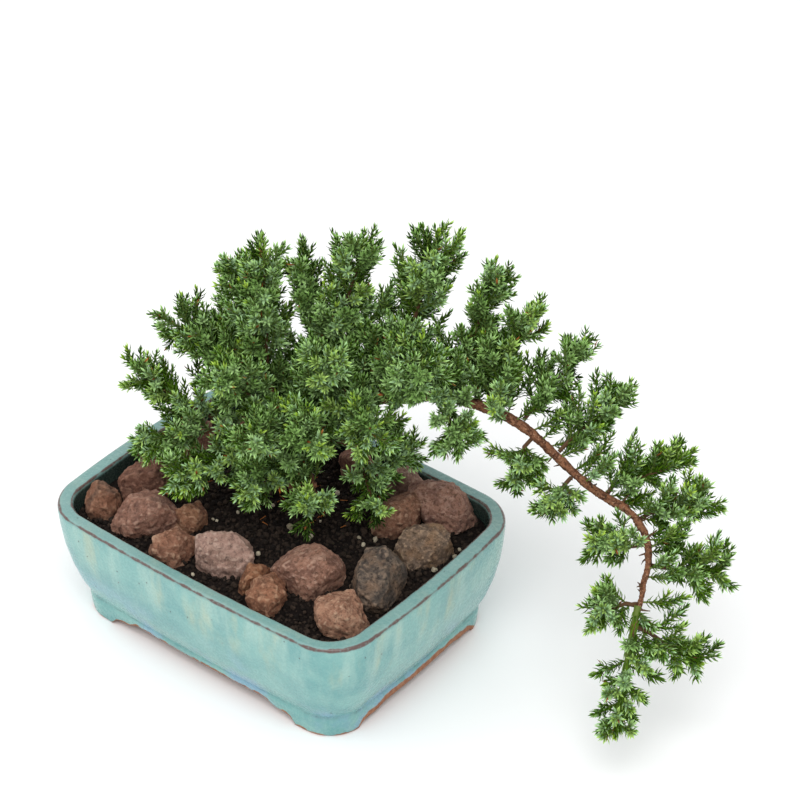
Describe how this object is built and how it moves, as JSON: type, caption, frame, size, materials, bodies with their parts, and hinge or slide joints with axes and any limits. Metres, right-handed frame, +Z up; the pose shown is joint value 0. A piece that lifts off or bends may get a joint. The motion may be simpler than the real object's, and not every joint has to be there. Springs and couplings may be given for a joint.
{
  "type": "potted bonsai tree",
  "caption": "Semi-cascade juniper bonsai in a low rectangular turquoise glazed pot with a ring of brown rocks on dark soil.",
  "frame": {"origin": "middle of the whole part's footprint, on the surface that the pot's feet stand on", "axes": "+X along the pot's long side towards the cascading branch's side, +Y towards the pot's back long side, +Z up"},
  "size_m": [0.3272, 0.182, 0.2141],
  "materials": {
    "glaze": "glossy crackled glaze, bare clay under the feet",
    "soil": "loose and matt",
    "screen": "matt",
    "bark": "flaking bark",
    "foliage": "waxy living needles",
    "rock_a": "rough broken stone",
    "rock_b": "rough broken stone",
    "rock_c": "rough broken stone",
    "rock_d": "rough broken stone",
    "rock_e": "rough broken stone",
    "rock_f": "rough broken stone"
  },
  "bodies": {
    "root": {"pot": "glaze", "drain_screen_left": "screen", "drain_screen_right": "screen", "soil": "soil", "rock_01": "rock_a", "rock_02": "rock_b", "rock_03": "rock_c", "rock_04": "rock_d", "rock_05": "rock_e", "rock_06": "rock_f", "rock_07": "rock_a", "rock_08": "rock_b", "rock_09": "rock_c", "rock_10": "rock_d", "rock_11": "rock_e", "rock_12": "rock_f", "rock_13": "rock_a", "rock_14": "rock_b", "rock_15": "rock_c", "rock_16": "rock_d", "rock_17": "rock_e", "rock_18": "rock_f", "rock_19": "rock_a", "rock_20": "rock_b", "trunk_and_limbs": "bark", "spray_crown_right": "foliage", "spray_crown_far_right": "foliage", "spray_crown_middle": "foliage", "spray_crown_back": "foliage", "spray_crown_left": "foliage", "spray_left_high": "foliage", "spray_left_shoulder": "foliage", "spray_left_reach": "foliage", "spray_left_low": "foliage", "spray_left_lowest": "foliage", "spray_left_front": "foliage", "spray_middle_left": "foliage", "spray_middle_front": "foliage", "spray_middle_high": "foliage", "spray_front_low": "foliage", "spray_front_left_low": "foliage", "spray_front_right_low": "foliage", "spray_right_low": "foliage", "spray_right_front": "foliage", "spray_right_high": "foliage", "spray_under_arch": "foliage", "spray_arch_top": "foliage", "spray_arch_end": "foliage", "spray_fall_top": "foliage", "spray_fall_under": "foliage", "spray_fall_inner": "foliage", "spray_fall_right": "foliage", "spray_fall_outer": "foliage", "spray_fall_left": "foliage", "spray_tail_right": "foliage", "spray_tail_left": "foliage", "spray_tail_low": "foliage", "spray_tail_tip": "foliage", "spray_back_right": "foliage", "spray_back_left": "foliage"}
  },
  "joints": []
}
